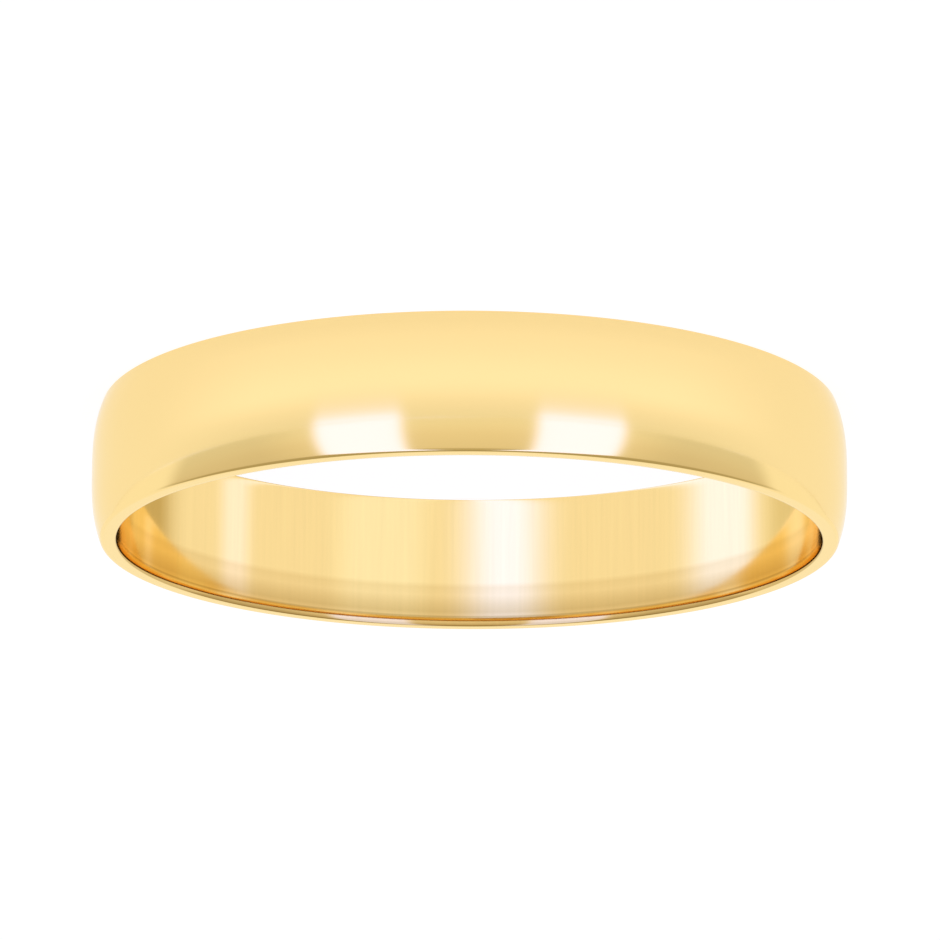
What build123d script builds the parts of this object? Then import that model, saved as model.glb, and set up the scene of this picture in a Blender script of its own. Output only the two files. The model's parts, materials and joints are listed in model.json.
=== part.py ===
from build123d import *
import os

# Plain low-dome wedding band, all sizes in millimetres.
# The band lies flat on one side face, as on a table: the bore runs along Z, +Z is up,
# and the origin is the centre of the bottom side face.

BORE_RADIUS = 9.92      # inside radius, a standard size 10 finger
CROWN_RADIUS = 10.68    # largest outside radius, on the middle of the dome
WIDTH = 3.9             # side face to side face, along the bore
DOME_DROP = 0.28        # fall of the dome from the crown to the side-face plane
DOME_POWER = 2.9        # 2 is a plain arc, more is flatter on top with rounder shoulders
CORNER_RADIUS = 0.12    # rounding where the dome turns into a side face
EASE_RADIAL = 0.06      # comfort easing at each bore mouth, measured outwards
EASE_AXIAL = 0.28       # the same easing, measured into the bore
DOME_STEPS = 16         # spans of the dome curve from edge to edge

half_width = WIDTH / 2


def dome_radius(height):
    """Outside radius at a height above the bottom side face."""
    from_middle = abs(height - half_width)
    return CROWN_RADIUS - DOME_DROP * (from_middle / half_width) ** DOME_POWER


# Cross-section of the wall, drawn with radius along X and height along Z.
edge_slope = DOME_DROP * DOME_POWER / half_width
dome_points = []
for step in range(DOME_STEPS + 1):
    height = WIDTH * step / DOME_STEPS
    dome_points.append((dome_radius(height), height))

ease_radius = BORE_RADIUS + EASE_RADIAL
ease_low = EASE_AXIAL
ease_high = WIDTH - EASE_AXIAL

with BuildSketch(Plane.XZ) as wall:
    with BuildLine():
        dome = Spline(dome_points, tangents=[(edge_slope, 1), (-edge_slope, 1)])
        Line(dome @ 1, (ease_radius, WIDTH))
        EllipticalCenterArc((ease_radius, ease_high), EASE_RADIAL, EASE_AXIAL, 90, arc_size=90)
        Line((BORE_RADIUS, ease_high), (BORE_RADIUS, ease_low))
        EllipticalCenterArc((ease_radius, ease_low), EASE_RADIAL, EASE_AXIAL, 180, arc_size=90)
        Line((ease_radius, 0), dome @ 0)
    make_face()
    outer_corners = wall.vertices().sort_by(Axis.X)[-2:]
    fillet(outer_corners, CORNER_RADIUS)

# One full turn about the finger axis makes the closed band.
band = revolve(wall.sketch, axis=Axis.Z, revolution_arc=360)
band = band.solid()
band.label = "band"

os.makedirs("parts", exist_ok=True)
export_step(band, "parts/band.step")
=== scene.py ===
import bpy
import json
import math
import numpy as np
from mathutils import Matrix, Vector


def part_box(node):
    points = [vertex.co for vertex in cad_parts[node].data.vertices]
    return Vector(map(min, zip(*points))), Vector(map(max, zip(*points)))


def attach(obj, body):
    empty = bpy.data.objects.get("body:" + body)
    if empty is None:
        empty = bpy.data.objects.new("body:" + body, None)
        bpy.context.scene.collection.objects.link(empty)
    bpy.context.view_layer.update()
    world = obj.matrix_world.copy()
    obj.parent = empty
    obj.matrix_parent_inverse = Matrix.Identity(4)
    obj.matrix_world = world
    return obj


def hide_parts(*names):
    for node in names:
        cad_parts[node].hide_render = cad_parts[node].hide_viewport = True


# Plain polished gold wedding band, lying on one side face on a white table.
# Metres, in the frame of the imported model: the bore runs along Z, the bottom side face is at z = 0.

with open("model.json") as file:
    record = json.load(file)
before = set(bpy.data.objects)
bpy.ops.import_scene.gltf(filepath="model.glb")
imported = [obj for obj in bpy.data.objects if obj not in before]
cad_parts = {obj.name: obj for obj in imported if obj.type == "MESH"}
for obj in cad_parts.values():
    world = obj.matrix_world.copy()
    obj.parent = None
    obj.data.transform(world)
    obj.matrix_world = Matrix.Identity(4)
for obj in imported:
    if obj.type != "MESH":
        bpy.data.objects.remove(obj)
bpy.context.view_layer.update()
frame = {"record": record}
bandLow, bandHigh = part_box("band")
print("frame loaded")


class Wire:
    # one output socket of a shader tree; sums on wires add Math nodes
    def __init__(self, tree, socket=None):
        self.tree = tree
        self.socket = socket

    def add(self, kind, settings, inputs, output=0):
        # adds any node: its settings first, then a value or a link for each named input
        node = self.tree.nodes.new(kind)
        for name, value in settings.items():
            if name == "stops":
                for spot, (position, colour) in enumerate(value):
                    ramp = node.color_ramp.elements
                    stop = ramp[spot] if spot < 2 else ramp.new(position)
                    stop.position = position
                    stop.color = colour
            else:
                setattr(node, name, value)
        for name, value in inputs.items():
            if isinstance(value, Wire):
                self.tree.links.new(value.socket, node.inputs[name])
            else:
                node.inputs[name].default_value = value
        return Wire(self.tree, node.outputs[output])

    def part(self, output):
        # another output of the same node
        return Wire(self.tree, self.socket.node.outputs[output])

    def sum(self, operation, *values):
        return self.add("ShaderNodeMath", {"operation": operation}, dict(enumerate(values)))

    def root(self):
        return self.sum("SQRT", self)

    def __add__(self, other):
        return self.sum("ADD", self, other)

    def __sub__(self, other):
        return self.sum("SUBTRACT", self, other)

    def __mul__(self, other):
        return self.sum("MULTIPLY", self, other)

    def __truediv__(self, other):
        return self.sum("DIVIDE", self, other)

    def __radd__(self, other):
        return self.sum("ADD", other, self)

    def __rsub__(self, other):
        return self.sum("SUBTRACT", other, self)

    def __rmul__(self, other):
        return self.sum("MULTIPLY", other, self)

    def __rtruediv__(self, other):
        return self.sum("DIVIDE", other, self)


def stepUp(value, low, high):
    # smooth step: 0 below low, 1 above high
    return value.add("ShaderNodeMapRange", {"interpolation_type": "SMOOTHSTEP"},
                     {"Value": value, "From Min": low, "From Max": high})


def clampRange(value, low, high):
    # straight rise from 0 at low to 1 at high
    return value.add("ShaderNodeMapRange", {},
                     {"Value": value, "From Min": low, "From Max": high})


def blendColour(factor, first, second):
    # mix of two colours by a factor
    return factor.add("ShaderNodeMix", {"data_type": "RGBA"},
                      {"Factor": factor, 6: first, 7: second}, output=2)


def lampGlow(mask, under, colour):
    # a lamp with a soft rim: its edge rises to white before it takes the lamp's own colour
    rim = blendColour(mask, under, (1, 1, 1, 1))
    return blendColour(mask * mask, rim, colour)


bandSettings = {
    "domeDrop": 0.00028,      # fall of the dome from crown to side-face plane
    "domePower": 2.9,         # flatness of the dome
    "cornerRadius": 0.00012,  # rounding between dome and side face
    "easeRadial": 0.00006,    # comfort easing, outwards
    "easeAxial": 0.00028,     # comfort easing, into the bore
    "domeSpans": 30,          # spans on half of the dome
    "cornerSpans": 14,
    "faceSpans": 3,
    "easeSpans": 14,
    "boreSpans": 6,           # spans on half of the bore
    "turnSpans": 720,         # spans round the finger axis
    "searchSteps": 4001,      # fineness of the search for where dome and corner touch
}


def wallOutline(s, boreRadius, crownRadius, halfWidth):
    # Closed outline of the wall as radius and height above the middle plane.
    # Dome: radius = crown - drop * (height / half width) ^ power, up to where an arc of the
    # corner radius touches both it and the side face; then arc, flat face, quarter ellipse
    # and straight bore. The lower half mirrors the upper one.
    height = np.linspace(0, halfWidth, s["searchSteps"])
    dome = crownRadius - s["domeDrop"] * (height / halfWidth) ** s["domePower"]
    share = height / halfWidth
    slope = -s["domeDrop"] * s["domePower"] / halfWidth * share ** (s["domePower"] - 1)
    length = np.hypot(1, slope)
    insetRadius = dome - s["cornerRadius"] / length
    insetHeight = height + s["cornerRadius"] * slope / length
    arcHeight = halfWidth - s["cornerRadius"]
    arcRadius = np.interp(arcHeight, insetHeight, insetRadius)
    touch = np.interp(arcHeight, insetHeight, height)
    touchSlope = np.interp(arcHeight, insetHeight, slope)
    domeHeights = touch * np.linspace(0, 1, s["domeSpans"], endpoint=False)
    domeRadii = crownRadius - s["domeDrop"] * (domeHeights / halfWidth) ** s["domePower"]
    arcTurn = np.linspace(math.atan(-touchSlope), math.pi / 2, s["cornerSpans"], endpoint=False)
    easeCentre = boreRadius + s["easeRadial"]
    faceRadii = np.linspace(arcRadius, easeCentre, s["faceSpans"], endpoint=False)
    easeTurn = np.linspace(0, math.pi / 2, s["easeSpans"], endpoint=False)
    boreHeights = (halfWidth - s["easeAxial"]) * np.linspace(1, 0, s["boreSpans"], endpoint=False)
    radius = np.concatenate([
        domeRadii,
        arcRadius + s["cornerRadius"] * np.cos(arcTurn),
        faceRadii,
        easeCentre - s["easeRadial"] * np.sin(easeTurn),
        np.full(s["boreSpans"], boreRadius)])
    level = np.concatenate([
        domeHeights,
        arcHeight + s["cornerRadius"] * np.sin(arcTurn),
        np.full(s["faceSpans"], halfWidth),
        halfWidth - s["easeAxial"] * (1 - np.cos(easeTurn)),
        boreHeights])
    radius = np.concatenate([radius, [boreRadius], radius[:0:-1]])
    level = np.concatenate([level, [0], -level[:0:-1]])
    return radius, level


def bandSurface(s, boreRadius, crownRadius, width):
    # The outline carried once round Z: x = radius * cos(turn), y = radius * sin(turn),
    # z = level + half the width, on a grid that closes on itself both ways.
    radius, level = wallOutline(s, boreRadius, crownRadius, width / 2)
    turn = np.linspace(0, 2 * math.pi, s["turnSpans"], endpoint=False)
    points = np.empty((radius.size, turn.size, 3))
    points[..., 0] = radius[:, None] * np.cos(turn)
    points[..., 1] = radius[:, None] * np.sin(turn)
    points[..., 2] = level[:, None] + width / 2
    row, column = np.meshgrid(np.arange(radius.size), np.arange(turn.size), indexing="ij")
    nextRow = (row + 1) % radius.size
    nextColumn = (column + 1) % turn.size
    corners = [(row, column), (row, nextColumn), (nextRow, nextColumn), (nextRow, column)]
    faces = np.stack([r * turn.size + c for r, c in corners], axis=-1)
    return points.reshape(-1, 3), faces.reshape(-1, 4)


def meshPiece(name, points, faces):
    # a smooth-shaded mesh object at the origin from whole arrays
    mesh = bpy.data.meshes.new(name)
    mesh.from_pydata(points, [], faces)
    mesh.shade_smooth()
    mesh.update()
    piece = bpy.data.objects.new(name, mesh)
    bpy.context.collection.objects.link(piece)
    return piece


boreMount = [m for m in frame["record"]["mounts"] if m["kind"] == "bore"][0]
boreRadius = boreMount["dims"]["r_mm"] / 1000
crownRadius = bandHigh[0]
bandWidth = bandHigh[2] - bandLow[2]
points, faces = bandSurface(bandSettings, boreRadius, crownRadius, bandWidth)
goldBand = meshPiece("goldBand", points, faces)
print("band surface made:", len(faces) * 2, "triangles")

goldSettings = {
    "colour": (0.99, 0.745, 0.323, 1),
    "edgeTint": (1, 0.95, 0.80, 1),
    "domeRoughness": 0.10,
    "boreRoughness": 0.09,
    "mouthPaintedShade": [  # painted shade: the bore wall darkens in bands towards its upper mouth, by height over the width
        (0.66, (1, 1, 1, 1)),
        (0.70, (0.90, 0.87, 0.82, 1)),
        (0.76, (0.93, 0.90, 0.86, 1)),
        (0.83, (0.81, 0.76, 0.68, 1)),
        (0.89, (0.72, 0.66, 0.56, 1)),
        (0.917, (0.80, 0.74, 0.66, 1)),
        (0.928, (0.56, 0.50, 0.38, 1)),
        (0.945, (0.85, 0.80, 0.74, 1)),
        (0.975, (0.82, 0.76, 0.68, 1)),
        (0.990, (0.66, 0.60, 0.50, 1)),
    ],
    "streak": 0.10,           # depth of the fine lines along the bore
    "lineScale": (9000, 9000, 250),      # fine across, long along the bore
    "boreEdges": (0.00005, 0.00008),     # how far outside the bore wall its finish fades out
}


def polishedGold(s):
    material = bpy.data.materials.new("polishedGold")
    material.use_nodes = True
    tree = material.node_tree
    shader = tree.nodes["Principled BSDF"]
    shader.inputs["Metallic"].default_value = 1
    shader.inputs["Specular Tint"].default_value = s["edgeTint"]
    start = Wire(tree)
    place = start.add("ShaderNodeTexCoord", {}, {}, output="Object")
    axes = start.add("ShaderNodeSeparateXYZ", {}, {"Vector": place})
    x, y, z = axes, axes.part("Y"), axes.part("Z")
    fromAxis = (x * x + y * y).root()
    edgeStart, edgeEnd = s["boreEdges"]
    inBore = 1 - stepUp(fromAxis, boreRadius + edgeStart, boreRadius + edgeEnd)

    stretched = start.add("ShaderNodeVectorMath", {"operation": "MULTIPLY"},
                          {0: place, 1: s["lineScale"]})
    lines = start.add("ShaderNodeTexNoise", {},
                      {"Vector": stretched, "Scale": 1.0, "Detail": 3.0})
    # painted shade in the bore's base colour: darker bands towards its upper mouth, by height, then
    # the fine lines along the bore
    mouthShade = start.add("ShaderNodeValToRGB", {"stops": s["mouthPaintedShade"]}, {"Fac": z / bandWidth})
    streaked = 1 + (lines - 0.5) * s["streak"]
    boreShadeAndLines = start.add("ShaderNodeVectorMath", {"operation": "SCALE"},
                         {0: mouthShade, "Scale": streaked})
    tone = blendColour(inBore, (1, 1, 1, 1), boreShadeAndLines)
    colour = start.add("ShaderNodeMix", {"data_type": "RGBA", "blend_type": "MULTIPLY"},
                       {"Factor": 1.0, 6: s["colour"], 7: tone}, output=2)
    tree.links.new(colour.socket, shader.inputs["Base Color"])

    roughness = s["domeRoughness"] + inBore * (s["boreRoughness"] - s["domeRoughness"])
    tree.links.new(roughness.socket, shader.inputs["Roughness"])
    return material


goldBand.data.materials.append(polishedGold(goldSettings))
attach(goldBand, "root")
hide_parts("band")
print("gold finish made")


tableSettings = {
    "half": 1.5,
    "seam": 0.01015,          # the inner round of the table ends under the band's side face
    "colour": (0.25, 0.25, 0.25, 1),
    "glow": 0.86,             # a table lit evenly from within
    "fill": 0.19,             # what the room's light adds to the glow
    "middle": 0.05,           # radius of a ring of points between the seam and the far edge
    "turns": 96,
    "nearTurn": 60,           # the falloff is full within this turn of the camera's side
    "fadeTurn": 60,           # and gone this much further round
    "boxReach": (0.36, 0.88), # where the painted pools of softbox light start and stop growing on the table
    "boxStrength": 0.92,
    "falloff": [  # half of the painted glow met by the dome, from the band's foot out to the far edge
        (0.00, (0.49, 0.49, 0.49, 1)),
        (0.08, (0.52, 0.52, 0.53, 1)),
        (0.40, (0.56, 0.56, 0.59, 1)),
        (0.56, (0.50, 0.50, 0.50, 1)),
        (0.70, (0.475, 0.475, 0.47, 1)),
        (1.00, (0.45, 0.45, 0.43, 1)),
    ],
}

roomSettings = {
    "white": (1, 1, 1, 1),
    "stops": [  # brightness by elevation over the front half, from the horizon to overhead
        (0.00, (0.89, 0.89, 0.85, 1)),
        (0.08, (0.88, 0.85, 0.78, 1)),
        (0.15, (0.84, 0.79, 0.70, 1)),
        (0.31, (0.78, 0.73, 0.63, 1)),
        (0.42, (0.56, 0.50, 0.36, 1)),
        (1.00, (0.48, 0.43, 0.28, 1)),
    ],
    "softboxes": {  # one on each side: turn, half width, soft rim and top, all in degrees
        "turn": 33.5, "half": 11, "soft": 6, "top": 80, "topSoft": 5,
        "colour": (1.15, 1.33, 2.8, 1)},
    "sideShade": 0.15,        # how much darker the front half is towards its sides
    "sideTurns": (45, 70),    # where that shade starts and is full
    "backLean": 0.7,          # the white back half leans forward overhead
    "backFade": (0.0, 0.2),
    "horizonFade": (-0.5, 0.5),
    "below": (0.97, 0.95, 0.94, 1),
    "lamps": [  # soft lamps and two dim cards low in the room, by turn from the camera's side
        {"turn": 30, "half": 8, "fade": 16, "colour": (1.03, 1.08, 1.22, 1)},
        {"turn": -12, "half": 2, "fade": 25, "colour": (1.10, 1.33, 2.8, 1)},
        {"turn": -96, "half": 6, "fade": 24, "colour": (1.10, 1.28, 2.35, 1)},
        {"turn": 86, "half": 2, "fade": 10, "colour": (1.1, 1.16, 1.7, 1)},
        {"turn": 150, "half": 22, "fade": 25, "colour": (0.60, 0.50, 0.30, 1)},
        {"turn": -150, "half": 22, "fade": 22, "colour": (0.80, 0.75, 0.60, 1)},
    ],
}


def turnFromCamera(axes):
    # compass turn in degrees from the camera's side of the band, growing towards -X
    return axes.sum("ARCTAN2", axes * -1, axes.part("Y") * -1) * (180 / math.pi)


def softBand(value, middle, half, fade):
    # 1 within half of the middle, falling smoothly to 0 over the fade
    away = value.sum("ABSOLUTE", value - middle)
    return 1 - stepUp(away, half, half + fade)


def glowTable(s, room):
    # white paper that glows a little; to reflections its glow is painted light, falling off from the
    # band and brighter in painted pools in front of the two softboxes
    material = bpy.data.materials.new("whitePaper")
    material.use_nodes = True
    tree = material.node_tree
    shader = tree.nodes["Principled BSDF"]
    shader.inputs["Base Color"].default_value = s["colour"]
    shader.inputs["Roughness"].default_value = 1
    shader.inputs["Specular IOR Level"].default_value = 0
    shader.inputs["Emission Strength"].default_value = 1
    start = Wire(tree)
    place = start.add("ShaderNodeTexCoord", {}, {}, output="Object")
    axes = start.add("ShaderNodeSeparateXYZ", {}, {"Vector": place})
    fromAxis = (axes * axes + axes.part("Y") * axes.part("Y")).root()
    outward = 1 - crownRadius / fromAxis
    turn = turnFromCamera(axes) * 2 * fromAxis / (fromAxis * 2 - crownRadius)
    turn = turn.sum("ABSOLUTE", turn)
    falloff = start.add("ShaderNodeValToRGB", {"stops": s["falloff"]}, {"Fac": outward})
    falloff = start.add("ShaderNodeVectorMath", {"operation": "SCALE"}, {0: falloff, "Scale": 2.0})
    near = softBand(turn, 0, s["nearTurn"], s["fadeTurn"])
    met = blendColour(near, room["white"], falloff)
    box = room["softboxes"]
    inFront = softBand(turn, box["turn"], box["half"], box["soft"])
    # painted pool of the softboxes' light on the table, seen only by reflections
    paintedBoxPool = inFront * clampRange(outward, *s["boxReach"]) * s["boxStrength"]
    met = lampGlow(paintedBoxPool, met, box["colour"])
    met = start.add("ShaderNodeVectorMath", {"operation": "SUBTRACT"},
                    {0: met, 1: [s["fill"]] * 3})
    seen = start.add("ShaderNodeLightPath", {}, {}, output="Is Camera Ray")
    colour = blendColour(seen, met, [s["glow"]] * 3 + [1])
    tree.links.new(colour.socket, shader.inputs["Emission Color"])
    return material


def roundedTable(s):
    # a round sheet with a round hole, and the round that fills it: rings of points at
    # (radius * cos(turn), radius * sin(turn), 0), from the seam out to the sheet's edge
    turn = np.linspace(0, 2 * math.pi, s["turns"], endpoint=False)
    radii = np.array([s["seam"], s["middle"], s["half"]])
    sheet = np.zeros((radii.size, turn.size, 3))
    sheet[..., 0] = radii[:, None] * np.cos(turn)
    sheet[..., 1] = radii[:, None] * np.sin(turn)
    column = np.arange(turn.size)
    nextColumn = (column + 1) % turn.size
    rings = [np.stack([r * turn.size + column, (r + 1) * turn.size + column,
                       (r + 1) * turn.size + nextColumn, r * turn.size + nextColumn], axis=-1)
             for r in range(radii.size - 1)]
    return sheet.reshape(-1, 3), np.concatenate(rings), sheet[0], [tuple(column)]


sheetPoints, sheetFaces, roundPoints, roundFaces = roundedTable(tableSettings)
table = meshPiece("table", sheetPoints, sheetFaces)
tableRound = meshPiece("tableRound", roundPoints, roundFaces)
tableRound.visible_glossy = False
whitePaper = glowTable(tableSettings, roomSettings)
table.data.materials.append(whitePaper)
tableRound.data.materials.append(whitePaper)
print("table made")


world = bpy.data.worlds.new("room")
bpy.context.scene.world = world
world.use_nodes = True
tree = world.node_tree
start = Wire(tree)
direction = start.add("ShaderNodeTexCoord", {}, {}, output="Generated")
axes = start.add("ShaderNodeSeparateXYZ", {}, {"Vector": direction})
y, z = axes.part("Y"), axes.part("Z")
rise = z.sum("ARCSINE", z) * (180 / math.pi)
turn = turnFromCamera(axes)
front = start.add("ShaderNodeValToRGB", {"stops": roomSettings["stops"]}, {"Fac": rise / 90})
offCentre = turn.sum("ABSOLUTE", turn)
atSide = stepUp(offCentre, *roomSettings["sideTurns"])
front = start.add("ShaderNodeVectorMath", {"operation": "SCALE"},
                  {0: front, "Scale": 1 - atSide * roomSettings["sideShade"]})
behind = stepUp(y - z * roomSettings["backLean"], *roomSettings["backFade"])
upper = blendColour(behind, front, roomSettings["white"])
box = roomSettings["softboxes"]
boxMask = softBand(offCentre, box["turn"], box["half"], box["soft"])
underTop = 1 - stepUp(rise, box["top"] - box["topSoft"], box["top"] + box["topSoft"])
upper = lampGlow(boxMask * underTop, upper, box["colour"])
lower = roomSettings["below"]
for lamp in roomSettings["lamps"]:
    lampMask = softBand(turn, lamp["turn"], lamp["half"], lamp["fade"])
    lower = lampGlow(lampMask, lower, lamp["colour"])
room = blendColour(stepUp(rise, *roomSettings["horizonFade"]), lower, upper)
seen = start.add("ShaderNodeLightPath", {}, {}, output="Is Camera Ray")
room = blendColour(seen, room, roomSettings["white"])
tree.links.new(room.socket, tree.nodes["Background"].inputs["Color"])
print("lights made")


cameraSettings = {
    "middle": (0, 0, bandWidth / 2),  # point looked at, the middle of the band
    "distance": 0.16798,
    "elevation": 14.62,               # degrees above the table
    "lens": 227.2,
    "sensor": 36,
    "roll": 0.20,                     # degrees past upside down, as the camera hangs
    "aimAcross": 0.0048,              # degrees that the aim lies beside the middle
    "aimUp": 0.0860,                  # degrees that the aim lies past it, upwards in the view
}

lift = math.radians(cameraSettings["elevation"])
roll = math.radians(cameraSettings["roll"])
forward = Vector((0, math.cos(lift), -math.sin(lift)))
rightFlat = Vector((-1, 0, 0))
upFlat = Vector((0, -math.sin(lift), -math.cos(lift)))
right = rightFlat * math.cos(roll) + upFlat * math.sin(roll)
up = upFlat * math.cos(roll) - rightFlat * math.sin(roll)
acrossShare = math.tan(math.radians(cameraSettings["aimAcross"]))
upShare = math.tan(math.radians(cameraSettings["aimUp"]))
back = -(forward + right * acrossShare + up * upShare).normalized()
across = up.cross(back).normalized()
upright = back.cross(across)
cameraData = bpy.data.cameras.new("camera")
cameraData.lens = cameraSettings["lens"]
cameraData.sensor_width = cameraSettings["sensor"]
cameraData.clip_start = 0.001
cameraData.clip_end = 10
camera = bpy.data.objects.new("camera", cameraData)
bpy.context.collection.objects.link(camera)
turnMatrix = Matrix((across, upright, back)).transposed().to_4x4()
stand = Vector(cameraSettings["middle"]) - forward * cameraSettings["distance"]
camera.matrix_world = Matrix.Translation(stand) @ turnMatrix
bpy.context.scene.camera = camera
bpy.context.scene.view_settings.view_transform = "Standard"
print("camera placed")
